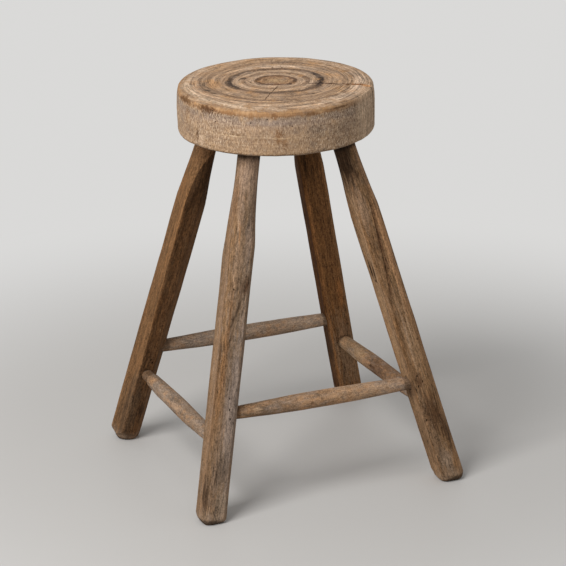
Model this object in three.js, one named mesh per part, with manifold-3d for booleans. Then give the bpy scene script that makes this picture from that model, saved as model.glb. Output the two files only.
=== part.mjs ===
// A rustic four-legged stool. The seat is a thick slice of a log, the legs are shaved from square
// billets and splay outwards, and four cigar-shaped stretchers tie them. Nothing is nailed: each
// leg has a tapered round tenon in a blind hole under the seat, and each stretcher has a round
// tenon in a blind hole in the leg at either end. The front and back stretchers run above the
// side ones, so that the two holes in a leg don't meet.
// Millimetres, +Z up. The stool stands on z = 0, centred on the origin, with its front at -Y.

import * as THREE from 'three';
import * as BufferGeometryUtils from 'three/addons/utils/BufferGeometryUtils.js';
import Module from 'manifold-3d';

// Seat
const SEAT_HEIGHT = 610;
const SEAT_RADIUS = 150;
const SEAT_THICKNESS = 72;
const SEAT_TOP_ROUND = 10;
const SEAT_BOTTOM_ROUND = 5;
const SEAT_SIDE_BULGE = 1;
const WOOD_OVER_LEG_TENON = 24;

// Legs
const LEG_INSET_FROM_SEAT_EDGE = 46;
const LEG_FOOT_RADIUS = 277.5;
const LEG_NECK_DIAMETER = 35;
const LEG_TENON_TIP_DIAMETER = 31;
const LEG_FOOT_BEVEL_WIDTH = 4;
const LEG_FOOT_BEVEL_HEIGHT = 11;

// Stretchers
const SIDE_STRETCHER_HEIGHT = 115.5;
const WOOD_BETWEEN_MORTISES = 17.5;
const WOOD_BEHIND_MORTISE = 12;
const STRETCHER_TENON_SHOWING = 2;
const STRETCHER_FULLNESS = 0.9;

// The gap that every tenon keeps to its hole, at its side and at its tip
const JOINT_CLEARANCE = 0.3;

// Points closer than this are one point.
const MERGE_DISTANCE = 1e-4;

// Fineness of the surfaces
const SEAT_SIDES = 56;
const SEAT_EDGE_STEPS = 4;
const SEAT_SIDE_STEPS = 4;
const LEG_STEPS_PER_FACE = 3;
const LEG_SWELL_STEPS = 6;
const STRETCHER_SIDES = 16;
const STRETCHER_STEPS = 9;

// The legs are made by eye, so each has sizes of its own. The bearing is where the leg stands
// round the seat, anticlockwise from +X in degrees. The corners are the flats shaved on the
// square billet at back right, back left, front left and front right, measured along its side,
// and the billet's middle can lie to the right of the tenon's axis. The round neck runs down
// from the seat, and then swells out to the billet. Head and foot stray from the regular place
// outwards, and sideways anticlockwise.
const LEGS = {
  front_left: {
    bearing: 225, width: 39.5, corners: [8, 2, 10, 7.5], offCentre: 1,
    neckLength: 40, swellLength: 125,
    headOut: 0.5, headSideways: -1.4, footOut: -1.1, footSideways: -8,
  },
  front_right: {
    bearing: 315, width: 41, corners: [8, 5, 3, 12], offCentre: 1.5,
    neckLength: 28, swellLength: 114,
    headOut: -0.2, headSideways: -0.1, footOut: -0.3, footSideways: 0.4,
  },
  back_right: {
    bearing: 45, width: 40.5, corners: [8, 8, 8, 8], offCentre: 0,
    neckLength: 22, swellLength: 105,
    headOut: -0.8, headSideways: 1.7, footOut: 10.3, footSideways: -5.2,
  },
  back_left: {
    bearing: 135, width: 43, corners: [8, 3, 1.5, 19], offCentre: 3.4,
    neckLength: 38, swellLength: 102,
    headOut: 0.4, headSideways: 0.1, footOut: -8.9, footSideways: 9.5,
  },
};

// Each stretcher runs from one leg to another. It has a diameter in either leg, and one at its
// fullest, which lies at a share of its length. Its ends sit a little above or below the height
// of their pair.
const STRETCHERS = {
  front: {
    from: 'front_left', to: 'front_right', upper: true,
    tenonDiameters: [19.5, 20.5], fullDiameter: 26.5, fullest: 0.5, offsets: [-1.1, -1.2],
  },
  back: {
    from: 'back_left', to: 'back_right', upper: true,
    tenonDiameters: [20, 21.5], fullDiameter: 26, fullest: 0.5, offsets: [1.7, -6.2],
  },
  left: {
    from: 'back_left', to: 'front_left', upper: false,
    tenonDiameters: [18.5, 20], fullDiameter: 27, fullest: 0.5, offsets: [1.4, -3.6],
  },
  right: {
    from: 'back_right', to: 'front_right', upper: false,
    tenonDiameters: [21.5, 21], fullDiameter: 26.5, fullest: 0.45, offsets: [-7.3, 6.4],
  },
};

const thickestTenon = Math.max(...Object.values(STRETCHERS).flatMap((one) => one.tenonDiameters));
const upperStretcherHeight = SIDE_STRETCHER_HEIGHT + thickestTenon + WOOD_BETWEEN_MORTISES;
const undersideHeight = SEAT_HEIGHT - SEAT_THICKNESS;
const headRadius = SEAT_RADIUS - LEG_INSET_FROM_SEAT_EDGE;
const neckRadius = LEG_NECK_DIAMETER / 2;
const tipRadius = LEG_TENON_TIP_DIAMETER / 2;

const seatWood = new THREE.MeshStandardMaterial({ color: 0x8f735a, roughness: 0.8, metalness: 0 });
const legWood = new THREE.MeshStandardMaterial({ color: 0x7d5e45, roughness: 0.8, metalness: 0 });
const stretcherWood = new THREE.MeshStandardMaterial({ color: 0xa07f64, roughness: 0.8, metalness: 0 });

const wasm = await Module();
wasm.setup();

// Solids are cut as manifolds and kept as buffer geometry.
function toSolid(geometry) {
  const bare = geometry.clone();
  bare.deleteAttribute('normal');
  bare.deleteAttribute('uv');
  const merged = BufferGeometryUtils.mergeVertices(bare, MERGE_DISTANCE);
  const corners = merged.index.array;
  const triangles = [];
  for (let i = 0; i < corners.length; i += 3) {
    const [a, b, c] = corners.slice(i, i + 3);
    if (a !== b && b !== c && c !== a) triangles.push(a, b, c);
  }
  const mesh = new wasm.Mesh({
    numProp: 3,
    vertProperties: new Float32Array(merged.attributes.position.array),
    triVerts: new Uint32Array(triangles),
  });
  return new wasm.Manifold(mesh);
}

function toGeometry(solid) {
  const mesh = solid.getMesh();
  const geometry = new THREE.BufferGeometry();
  geometry.setAttribute('position', new THREE.BufferAttribute(mesh.vertProperties, 3));
  geometry.setIndex(new THREE.BufferAttribute(mesh.triVerts, 1));
  geometry.computeVertexNormals();
  return geometry;
}

// A piece keeps its own frame, so each cutter is brought from its frame into the piece's.
function drill(geometry, placement, cutters) {
  const toPiece = placement.clone().invert();
  let solid = toSolid(geometry);
  for (const cutter of cutters) {
    const matrix = toPiece.clone().multiply(cutter.placement);
    solid = solid.subtract(toSolid(cutter.geometry.clone().applyMatrix4(matrix)));
  }
  return toGeometry(solid);
}

function namedMesh(name, geometry, material, placement) {
  const mesh = new THREE.Mesh(geometry, material);
  mesh.name = name;
  placement.decompose(mesh.position, mesh.quaternion, mesh.scale);
  return mesh;
}

// Skins a stack of rings, each a list of points anticlockwise seen from the last ring.
function loft(rings) {
  const count = rings[0].length;
  const points = rings.flat();
  const triangles = [];
  for (let i = 0; i + 1 < rings.length; i += 1) {
    for (let j = 0; j < count; j += 1) {
      const here = i * count + j;
      const beside = i * count + (j + 1) % count;
      triangles.push(here, beside, beside + count, here, beside + count, here + count);
    }
  }
  const last = (rings.length - 1) * count;
  for (let j = 1; j + 1 < count; j += 1) {
    triangles.push(0, j + 1, j);
    triangles.push(last, last + j, last + j + 1);
  }
  const geometry = new THREE.BufferGeometry().setFromPoints(points);
  geometry.setIndex(triangles);
  return geometry;
}

// The square billet's section with its four corners shaved flat, as points spaced along its
// eight faces. They start on the right-hand flat and run anticlockwise.
function shavedSquare({ width, corners, offCentre }) {
  const half = width / 2;
  const [backRight, backLeft, frontLeft, frontRight] = corners;
  const outline = [
    [half, half - backRight], [half - backRight, half],
    [backLeft - half, half], [-half, half - backLeft],
    [-half, frontLeft - half], [frontLeft - half, -half],
    [half - frontRight, -half], [half, frontRight - half],
  ].map(([x, y]) => new THREE.Vector2(x + offCentre, y));
  return outline.flatMap((start, i) => {
    const end = outline[(i + 1) % outline.length];
    return Array.from({ length: LEG_STEPS_PER_FACE }, (_, step) => (
      start.clone().lerp(end, step / LEG_STEPS_PER_FACE)
    ));
  });
}

// The same number of points on a circle. The first lies where an even octagon, with a face on
// the right, has its first corner.
function circle(radius) {
  const count = 8 * LEG_STEPS_PER_FACE;
  return Array.from({ length: count }, (_, i) => {
    const angle = Math.PI / 8 + (i / count) * 2 * Math.PI;
    return new THREE.Vector2(radius * Math.cos(angle), radius * Math.sin(angle));
  });
}

function blend(from, to, share) {
  return from.map((point, i) => point.clone().lerp(to[i], share));
}

function ringAcross(section, distance) {
  return section.map((point) => new THREE.Vector3(point.x, point.y, distance));
}

// A place near a leg's regular one: so far from the stool's middle, and so far round it
function placeRound(bearing, outwards, sideways, height) {
  const angle = THREE.MathUtils.degToRad(bearing);
  const outward = new THREE.Vector3(Math.cos(angle), Math.sin(angle), 0);
  const anticlockwise = new THREE.Vector3(-Math.sin(angle), Math.cos(angle), 0);
  return new THREE.Vector3(0, 0, height)
    .addScaledVector(outward, outwards)
    .addScaledVector(anticlockwise, sideways);
}

// The leg's frame stands on its foot with Z up the leg, X across it to the right and Y across it
// to the back.
function layOutLeg(leg) {
  const foot = placeRound(leg.bearing, LEG_FOOT_RADIUS + leg.footOut, leg.footSideways, 0);
  const head = placeRound(leg.bearing, headRadius + leg.headOut, leg.headSideways, undersideHeight);
  const up = head.clone().sub(foot).normalize();
  const back = up.clone().cross(new THREE.Vector3(1, 0, 0)).normalize();
  const right = back.clone().cross(up);
  const placement = new THREE.Matrix4().makeBasis(right, back, up).setPosition(foot);
  const length = head.distanceTo(foot);
  const tenonLength = (SEAT_THICKNESS - WOOD_OVER_LEG_TENON) / up.z;
  return { ...leg, foot, head, right, back, up, placement, length, tenonLength };
}

const legs = Object.fromEntries(
  Object.entries(LEGS).map(([place, leg]) => [place, layOutLeg(leg)]),
);

// A ring cut level at a height above the floor, in the leg's frame
function levelRing(leg, section, height) {
  return section.map((point) => {
    const rise = height - leg.right.z * point.x - leg.back.z * point.y;
    return new THREE.Vector3(point.x, point.y, rise / leg.up.z);
  });
}

function legBlank(leg) {
  const full = shavedSquare(leg);
  const bevelled = full.map((point) => (
    point.clone().multiplyScalar(1 - (2 * LEG_FOOT_BEVEL_WIDTH) / leg.width)
  ));
  const neck = circle(neckRadius);
  const neckEnd = leg.length - leg.neckLength;
  const rings = [levelRing(leg, bevelled, 0), levelRing(leg, full, LEG_FOOT_BEVEL_HEIGHT)];
  for (let step = 0; step <= LEG_SWELL_STEPS; step += 1) {
    const share = step / LEG_SWELL_STEPS;
    const section = blend(full, neck, THREE.MathUtils.smoothstep(share, 0, 1));
    rings.push(ringAcross(section, neckEnd - (1 - share) * leg.swellLength));
  }
  rings.push(ringAcross(neck, leg.length));
  rings.push(ringAcross(circle(tipRadius), leg.length + leg.tenonLength));
  return loft(rings);
}

// The tapered hole in the seat, from below its underside to just past the tenon's tip
function seatMortise(leg) {
  const mouth = circle(neckRadius + JOINT_CLEARANCE);
  const end = circle(tipRadius + JOINT_CLEARANCE);
  const geometry = loft([
    ringAcross(mouth, leg.length - leg.neckLength),
    ringAcross(mouth, leg.length),
    ringAcross(end, leg.length + leg.tenonLength + JOINT_CLEARANCE),
  ]);
  return { geometry, placement: leg.placement };
}

// The stretcher's frame starts on the axis of its first leg, with Y along the stretcher. Each
// tenon runs past its leg's axis to the bottom of the hole, and shows a little outside the leg,
// whose surface leans back from the stretcher.
function layOutStretcher(stretcher) {
  const pairHeight = stretcher.upper ? upperStretcherHeight : SIDE_STRETCHER_HEIGHT;
  const endLegs = [legs[stretcher.from], legs[stretcher.to]];
  const points = endLegs.map((leg, i) => {
    const height = pairHeight + stretcher.offsets[i];
    return leg.foot.clone().lerp(leg.head, height / undersideHeight);
  });
  const along = points[1].clone().sub(points[0]);
  const direction = along.clone().normalize();
  const ends = endLegs.map((leg, i) => {
    const radius = stretcher.tenonDiameters[i] / 2;
    const lean = Math.asin(Math.abs(direction.dot(leg.up)));
    const surface = (leg.width / 2 + leg.offCentre) / Math.cos(lean) + radius * Math.tan(lean);
    return {
      radius,
      pastAxis: leg.width / 2 - leg.offCentre - WOOD_BEHIND_MORTISE,
      clearOfLeg: surface + STRETCHER_TENON_SHOWING,
    };
  });
  const turn = new THREE.Quaternion().setFromUnitVectors(new THREE.Vector3(0, 1, 0), direction);
  const placement = new THREE.Matrix4().compose(points[0], turn, new THREE.Vector3(1, 1, 1));
  return { ...stretcher, ends, placement, length: along.length() };
}

const stretchers = Object.fromEntries(
  Object.entries(STRETCHERS).map(([place, stretcher]) => [place, layOutStretcher(stretcher)]),
);

function turned(profile, sides) {
  return new THREE.LatheGeometry(profile.map(([radius, y]) => new THREE.Vector2(radius, y)), sides);
}

function stretcherBlank({ ends, length, fullDiameter, fullest }) {
  const [start, finish] = ends;
  const startTip = JOINT_CLEARANCE - start.pastAxis;
  const finishTip = length + finish.pastAxis - JOINT_CLEARANCE;
  const swellStart = start.clearOfLeg;
  const swellEnd = length - finish.clearOfLeg;
  const swell = (fullDiameter - start.radius - finish.radius) / 2;
  const profile = [[0, startTip], [start.radius, startTip]];
  for (let step = 0; step <= STRETCHER_STEPS; step += 1) {
    const share = step / STRETCHER_STEPS;
    const taper = THREE.MathUtils.lerp(start.radius, finish.radius, share);
    const halves = share < fullest ? share / fullest : (1 - share) / (1 - fullest);
    const fullness = Math.sin((Math.PI / 2) * halves) ** STRETCHER_FULLNESS;
    const y = THREE.MathUtils.lerp(swellStart, swellEnd, share);
    profile.push([step % STRETCHER_STEPS ? taper + swell * fullness : taper, y]);
  }
  profile.push([finish.radius, finishTip], [0, finishTip]);
  return turned(profile, STRETCHER_SIDES);
}

// The two holes that take the stretcher, as cutters that reach out past the leg's surface
function stretcherMortises({ ends, length, placement }) {
  return ends.map((end, i) => {
    const bottom = i === 0 ? -end.pastAxis : length + end.pastAxis;
    const mouth = i === 0 ? end.clearOfLeg : length - end.clearOfLeg;
    const [low, high] = [Math.min(bottom, mouth), Math.max(bottom, mouth)];
    const radius = end.radius + JOINT_CLEARANCE;
    const geometry = turned([[0, low], [radius, low], [radius, high], [0, high]], STRETCHER_SIDES);
    return { geometry, placement };
  });
}

// The seat's frame has its origin at the middle of its underside and, as a turned shape, Y up.
function seatBlank() {
  const edge = SEAT_RADIUS - SEAT_SIDE_BULGE;
  const sideBottom = SEAT_BOTTOM_ROUND;
  const sideTop = SEAT_THICKNESS - SEAT_TOP_ROUND;
  const profile = [[0, 0]];
  for (let step = 0; step <= SEAT_EDGE_STEPS; step += 1) {
    const angle = (step / SEAT_EDGE_STEPS) * (Math.PI / 2);
    profile.push([
      edge - SEAT_BOTTOM_ROUND * (1 - Math.sin(angle)),
      sideBottom - SEAT_BOTTOM_ROUND * Math.cos(angle),
    ]);
  }
  for (let step = 1; step < SEAT_SIDE_STEPS; step += 1) {
    const share = step / SEAT_SIDE_STEPS;
    const bulge = SEAT_SIDE_BULGE * Math.sin(Math.PI * share);
    profile.push([edge + bulge, THREE.MathUtils.lerp(sideBottom, sideTop, share)]);
  }
  for (let step = 0; step <= SEAT_EDGE_STEPS; step += 1) {
    const angle = (step / SEAT_EDGE_STEPS) * (Math.PI / 2);
    profile.push([
      edge - SEAT_TOP_ROUND * (1 - Math.cos(angle)),
      sideTop + SEAT_TOP_ROUND * Math.sin(angle),
    ]);
  }
  profile.push([0, SEAT_THICKNESS]);
  return turned(profile, SEAT_SIDES);
}

function makeSeat() {
  const upright = new THREE.Matrix4().makeRotationX(Math.PI / 2);
  const placement = upright.setPosition(0, 0, undersideHeight);
  const mortises = Object.values(legs).map(seatMortise);
  return namedMesh('seat', drill(seatBlank(), placement, mortises), seatWood, placement);
}

function makeLegs() {
  const mortises = Object.values(stretchers).flatMap((stretcher) => {
    const [first, second] = stretcherMortises(stretcher);
    return [{ ...first, leg: stretcher.from }, { ...second, leg: stretcher.to }];
  });
  const group = new THREE.Group();
  for (const [place, leg] of Object.entries(legs)) {
    const own = mortises.filter((mortise) => mortise.leg === place);
    const geometry = drill(legBlank(leg), leg.placement, own);
    group.add(namedMesh(`leg_${place}`, geometry, legWood, leg.placement));
  }
  return group;
}

function makeStretchers() {
  const group = new THREE.Group();
  for (const [place, stretcher] of Object.entries(stretchers)) {
    const geometry = toGeometry(toSolid(stretcherBlank(stretcher)));
    group.add(namedMesh(`stretcher_${place}`, geometry, stretcherWood, stretcher.placement));
  }
  return group;
}

const stool = new THREE.Group();
stool.add(makeSeat(), makeLegs(), makeStretchers());

// The feet stray from a true square, so the stool is moved to centre its footprint.
stool.updateMatrixWorld(true);
const footprint = new THREE.Box3().setFromObject(stool, true).getCenter(new THREE.Vector3());
stool.position.set(-footprint.x, -footprint.y, 0);

export default stool;
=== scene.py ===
import math

import bmesh
import bpy
from mathutils import Matrix, Quaternion, Vector


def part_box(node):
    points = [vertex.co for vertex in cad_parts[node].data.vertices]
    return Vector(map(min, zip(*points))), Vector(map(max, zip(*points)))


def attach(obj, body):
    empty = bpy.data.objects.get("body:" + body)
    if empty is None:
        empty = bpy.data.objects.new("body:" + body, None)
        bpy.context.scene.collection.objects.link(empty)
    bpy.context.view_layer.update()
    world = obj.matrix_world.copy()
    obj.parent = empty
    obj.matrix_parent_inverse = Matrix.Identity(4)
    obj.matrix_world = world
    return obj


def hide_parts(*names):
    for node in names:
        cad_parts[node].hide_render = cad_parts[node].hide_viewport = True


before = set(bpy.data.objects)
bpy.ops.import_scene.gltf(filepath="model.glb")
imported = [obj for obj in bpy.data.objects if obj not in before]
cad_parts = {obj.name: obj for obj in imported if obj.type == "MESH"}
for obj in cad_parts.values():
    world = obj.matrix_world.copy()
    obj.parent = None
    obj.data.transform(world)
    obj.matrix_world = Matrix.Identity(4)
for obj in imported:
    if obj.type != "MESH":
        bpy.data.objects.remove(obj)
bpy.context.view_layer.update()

# The seat
# A thick slice sawn across a log, so that its end grain is the top. Use has worn its rim round and
# its soft rings low, and it has split from the pith outwards as it dried. Its bark is rasped off.

SEAT_SIDES = 320
TOP_ROUND = 0.006
UNDERSIDE_ROUND = 0.005
SIDE_BULGE = 0.001
PITH_DISC = 0.004
TOP_RINGS = 84
SIDE_ROWS = 30
UNDERSIDE_RINGS = 30

# Places that are nearer than a hair to a height or a line are on it, and an edge that turns by more
# than the sharp angle stays an edge when its piece is shaded.
HAIR = 1e-5
SHARP_ANGLE = math.radians(35)

# The slice is looked at in a frame of its own, in which X runs along the long split.
SPLIT_BEARING = math.radians(-23.3)
PITH_BACK = 0.012
PITH_DRIFT = 0.06
PITH_SQUASH = 0.88
ROUND_FROM = 0.110

seat_low, seat_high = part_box("seat")
seat_middle = (seat_low + seat_high) / 2
seat_radius = (seat_high.x - seat_low.x) / 2
seat_thickness = seat_high.z - seat_low.z


def start():
    """Leaves nothing selected, so that the next tool works on the next piece alone."""
    if bpy.context.object and bpy.context.object.mode == "EDIT":
        bpy.ops.object.mode_set(mode="OBJECT")
    bpy.ops.object.select_all(action="DESELECT")


def begin(name):
    """Names the primitive that was just added, and opens it for shaping."""
    piece = bpy.context.object
    piece.name = piece.data.name = name
    bpy.ops.object.transform_apply(location=True, rotation=True, scale=True)
    bpy.ops.object.mode_set(mode="EDIT")
    return piece


def choose_points(wanted):
    """Selects the points whose place is wanted, and what lies between them."""
    shape = bmesh.from_edit_mesh(bpy.context.object.data)
    bpy.ops.mesh.select_mode(type="VERT")
    bpy.ops.mesh.select_all(action="DESELECT")
    for point in shape.verts:
        point.select = wanted(point.co)
    shape.select_flush(True)
    bmesh.update_edit_mesh(bpy.context.object.data)


def choose_edges(wanted):
    """Selects the edges whose two ends are wanted together."""
    shape = bmesh.from_edit_mesh(bpy.context.object.data)
    bpy.ops.mesh.select_mode(type="EDGE")
    bpy.ops.mesh.select_all(action="DESELECT")
    for edge in shape.edges:
        edge.select_set(wanted(edge.verts[0].co, edge.verts[1].co))
    bmesh.update_edit_mesh(bpy.context.object.data)


def work(piece, kind, **settings):
    """Works a piece with one of the modifiers, and makes the result its own mesh."""
    modifier = piece.modifiers.new(kind.lower(), kind)
    for name, value in settings.items():
        setattr(modifier, name, value)
    start()
    bpy.context.view_layer.objects.active = piece
    bpy.ops.object.modifier_apply(modifier=modifier.name)


def roughen(piece, across, along, height, level=1.0, group=""):
    """Makes a surface uneven, with marks so wide and so long, by at most a height. At level 1 the
    marks only go inwards."""
    marks = bpy.data.textures.new("marks", "CLOUDS")
    marks.noise_scale = across
    marks.noise_depth = 1
    stretch = bpy.data.objects.new("stretch", None)
    stretch.scale = (1, 1, along / across)
    bpy.context.scene.collection.objects.link(stretch)
    bpy.context.view_layer.update()
    work(
        piece, "DISPLACE", texture=marks, texture_coords="OBJECT", texture_coords_object=stretch,
        strength=height, mid_level=level, vertex_group=group,
    )
    bpy.data.objects.remove(stretch)
    bpy.data.textures.remove(marks)


def smooth_over(piece):
    """Shades a piece as rounded, but for its sharp edges."""
    start()
    piece.select_set(True)
    bpy.context.view_layer.objects.active = piece
    bpy.ops.object.shade_smooth_by_angle(angle=SHARP_ANGLE)


def cut(piece, cutters, keep="DIFFERENCE"):
    """Cuts a set of closed shapes out of a piece, or keeps only what is inside them."""
    start()
    for cutter in cutters:
        cutter.select_set(True)
    bpy.context.view_layer.objects.active = cutters[0]
    if len(cutters) > 1:
        bpy.ops.object.join()
    work(piece, "BOOLEAN", operation=keep, solver="MANIFOLD", object=cutters[0])
    bpy.data.objects.remove(cutters[0])


def drill(mouth, inwards, radius, depth, tall=1):
    """A small hole's cutter, from a little outside the surface to its narrow end."""
    start()
    inwards = Vector(inwards).normalized()
    turn = inwards.to_track_quat("Z", "Y")
    bpy.ops.mesh.primitive_cone_add(
        vertices=10, radius1=radius * 1.15, radius2=radius * 0.7, depth=depth * 2,
        location=mouth, rotation=turn.to_euler(), scale=(1, tall, 1),
    )
    bpy.ops.object.transform_apply(location=True, rotation=True, scale=True)
    return bpy.context.object


def wedge(points, outwards, width, depth):
    """The cutter of a split: a blade along some points of a surface, wide above and sharp below
    and at both ends."""
    outwards = Vector(outwards).normalized()
    blade = bmesh.new()
    rows = []
    for i, point in enumerate(points):
        point = Vector(point)
        before = Vector(points[max(i - 1, 0)])
        after = Vector(points[min(i + 1, len(points) - 1)])
        sideways = (after - before).cross(outwards).normalized()
        share = math.sin(math.pi * (i + 0.15) / (len(points) - 0.7)) ** 0.5
        half = sideways * width / 2 * share
        rows.append([
            blade.verts.new(point + outwards * depth + half * 2),
            blade.verts.new(point + outwards * depth - half * 2),
            blade.verts.new(point - outwards * depth * share),
        ])
    for here, there in zip(rows, rows[1:]):
        for j in range(3):
            blade.faces.new((here[j], here[j - 1], there[j - 1], there[j]))
    blade.faces.new(rows[0])
    blade.faces.new(rows[-1][::-1])
    bmesh.ops.recalc_face_normals(blade, faces=blade.faces)
    mesh = bpy.data.meshes.new("split")
    blade.to_mesh(mesh)
    blade.free()
    split = bpy.data.objects.new("split", mesh)
    bpy.context.scene.collection.objects.link(split)
    return split


def ring_reach(x, y):
    """How far a place on the slice is from the pith, counted along its egg-shaped rings."""
    back = y - PITH_BACK
    reach = (x * x + back * back) ** 0.5
    back = back + PITH_DRIFT * reach
    squash = PITH_SQUASH + (1 - PITH_SQUASH) / ROUND_FROM * reach
    return (x * x + (back / squash) ** 2) ** 0.5


def on_slice(x, y, height):
    """The place in the frame of a place on the slice, at a height over the seat's underside."""
    turned = Matrix.Rotation(SPLIT_BEARING, 3, "Z") @ Vector((x, y, height))
    return turned + Vector((seat_middle.x, seat_middle.y, seat_low.z))


start()
bpy.ops.mesh.primitive_cylinder_add(
    vertices=SEAT_SIDES, radius=seat_radius - SIDE_BULGE, depth=seat_thickness, end_fill_type="NGON",
)
seat = begin("seat_slice")
half = seat_thickness / 2
top_edge = seat_radius - SIDE_BULGE - TOP_ROUND
choose_edges(lambda a, b: min(a.z, b.z) > half - HAIR)
bpy.ops.mesh.bevel(offset=TOP_ROUND, offset_type="OFFSET", segments=6, profile=0.5, affect="EDGES")
choose_edges(lambda a, b: max(a.z, b.z) < HAIR - half)
bpy.ops.mesh.bevel(offset=UNDERSIDE_ROUND, offset_type="OFFSET", segments=4, affect="EDGES")
choose_edges(lambda a, b: abs(a.z - b.z) > half)
bpy.ops.mesh.subdivide(number_cuts=SIDE_ROWS)
for side, rings in ((1, TOP_RINGS), (-1, UNDERSIDE_RINGS)):
    choose_points(lambda point: side * point.z > half - HAIR)
    bpy.ops.mesh.inset(thickness=top_edge - PITH_DISC)
    choose_edges(lambda a, b: (
        min(side * a.z, side * b.z) > half - HAIR and abs(a.xy.length - b.xy.length) > top_edge / 2
    ))
    bpy.ops.mesh.subdivide(number_cuts=rings)
    choose_points(lambda point: side * point.z > half - HAIR and point.xy.length < PITH_DISC * 1.01)
    bpy.ops.mesh.poke()
choose_points(lambda point: abs(point.z) < half / SIDE_ROWS and point.xy.length > top_edge)
bpy.ops.transform.resize(
    value=(seat_radius / (seat_radius - SIDE_BULGE),) * 2 + (1,), center_override=(0, 0, 0),
    use_proportional_edit=True, proportional_edit_falloff="SMOOTH", proportional_size=half,
)
bpy.ops.mesh.select_all(action="SELECT")
bpy.ops.transform.translate(value=seat_middle)
bpy.ops.object.mode_set(mode="OBJECT")


def weigh(piece, name, weight):
    """Gives each point of a piece a weight by its place, which says how far a mark goes there."""
    group = piece.vertex_groups.new(name=name)
    for point in piece.data.vertices:
        group.add([point.index], weight(point.co), "REPLACE")


def share_of(value, most):
    """A value as a share of its most, no less than 0 and no more than 1."""
    return max(0, min(1, value / most))


# How far in from the side and down from the top the worn rim begins, and over how much it grows to
# its full, outwards and upwards. The bark has the same, and grows to its full downwards.
RIM_IN, RIM_DOWN, RIM_GROWS_OUT, RIM_GROWS_UP = 0.022, 0.016, 0.012, 0.010
BARK_IN, BARK_DOWN, BARK_GROWS_OUT, BARK_GROWS_DOWN = 0.006, 0.003, 0.003, 0.004
MOST_USED_WAY = Vector((-0.85, -0.53))


def rim_wear(point):
    """How far a place is in the rim, from 0 to 1."""
    outwards = (point.xy - seat_middle.xy).length - (seat_radius - RIM_IN)
    upwards = point.z - (seat_high.z - RIM_DOWN)
    return share_of(outwards, RIM_GROWS_OUT) * share_of(upwards, RIM_GROWS_UP)


def rim_use(point):
    """How far sitters have worn the rim down, which is most at the front left."""
    away = point.xy - seat_middle.xy
    towards_use = away.angle(MOST_USED_WAY, 0)
    return rim_wear(point) * (1 - towards_use / math.pi)


def bark_side(point):
    """How far a place is in the bark, from 0 to 1."""
    outwards = (point.xy - seat_middle.xy).length - (seat_radius - BARK_IN)
    downwards = seat_high.z - BARK_DOWN - point.z
    return share_of(outwards, BARK_GROWS_OUT) * share_of(downwards, BARK_GROWS_DOWN)


# The hard rings, each with its reach from the pith and half its width. What is between them is soft,
# and has worn away lower, on the top down to a skin's depth.
HARD_RINGS = [
    (0.03, 0.003), (0.05, 0.004), (0.062, 0.0015), (0.0695, 0.004), (0.088, 0.002), (0.105, 0.003),
    (0.116, 0.003), (0.131, 0.002),
]
TOP_SKIN = 0.0015
SOFT_RING_WEAR = 0.0007
RIM_WEAR = 0.0009


def softness(point):
    """How soft the end grain is at a place on the top of the seat."""
    place = Matrix.Rotation(-SPLIT_BEARING, 3, "Z") @ (point - seat_middle)
    reach = ring_reach(place.x, place.y)
    hard = max(math.exp(-((reach - at) / half) ** 2) for at, half in HARD_RINGS)
    return (1 - hard) * float(point.z > seat_high.z - TOP_SKIN)


weigh(seat, "rim", rim_wear)
weigh(seat, "used rim", rim_use)
weigh(seat, "bark side", bark_side)
weigh(seat, "end grain", lambda point: 1 - bark_side(point))
weigh(seat, "soft rings", softness)
work(seat, "DISPLACE", direction="Z", strength=-SOFT_RING_WEAR, mid_level=0, vertex_group="soft rings")
work(seat, "DISPLACE", strength=-RIM_WEAR, mid_level=0, vertex_group="used rim")
roughen(seat, 0.045, 0.045, 0.0009, group="rim")
roughen(seat, 0.009, 0.012, 0.0006, level=0.45, group="bark side")
roughen(seat, 0.035, 0.035, 0.0012, level=0.45, group="bark side")
roughen(seat, 0.035, 0.035, 0.0005, group="end grain")

# The splits in the top: the greatest width of each, its depth and a jagged row of places on the
# slice. They are the long one, the short one, a check by the rim and two beyond the pith.
SPLITS = [
    (0.0052, 0.005, [
        (0.047, -0.0093), (0.056, -0.0072), (0.0665, -0.0074), (0.0706, -0.0055), (0.0835, -0.0112),
        (0.098, -0.0143), (0.108, -0.0177), (0.114, -0.0135), (0.118, -0.0167), (0.126, -0.0157),
        (0.1295, -0.0215), (0.137, -0.0196), (0.142, -0.0285), (0.1465, -0.0305),
    ]),
    (0.0014, 0.003, [
        (0.003, -0.0155), (0.0023, -0.0215), (0, -0.0325), (-0.004, -0.045), (-0.0085, -0.0586),
        (-0.011, -0.0738), (-0.0133, -0.0748), (-0.0175, -0.098),
    ]),
    (0.0016, 0.002, [(0.07, -0.113), (0.074, -0.1095), (0.079, -0.112), (0.088, -0.098)]),
    (0.0011, 0.002, [(-0.004, 0.078), (-0.0034, 0.0835), (-0.0042, 0.089)]),
    (0.0011, 0.002, [(0.0105, 0.075), (0.01, 0.081), (0.0106, 0.0866)]),
]
up = Vector((0, 0, 1))
splits = [
    wedge([on_slice(x, y, seat_thickness) for x, y in places], up, width, depth)
    for width, depth, places in SPLITS
]


def on_side(along, height):
    """The place in the frame of a place so far round the seat's side from its front."""
    angle = along / seat_radius - math.pi / 2
    return on_slice(seat_radius * math.cos(angle), seat_radius * math.sin(angle), height)


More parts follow.
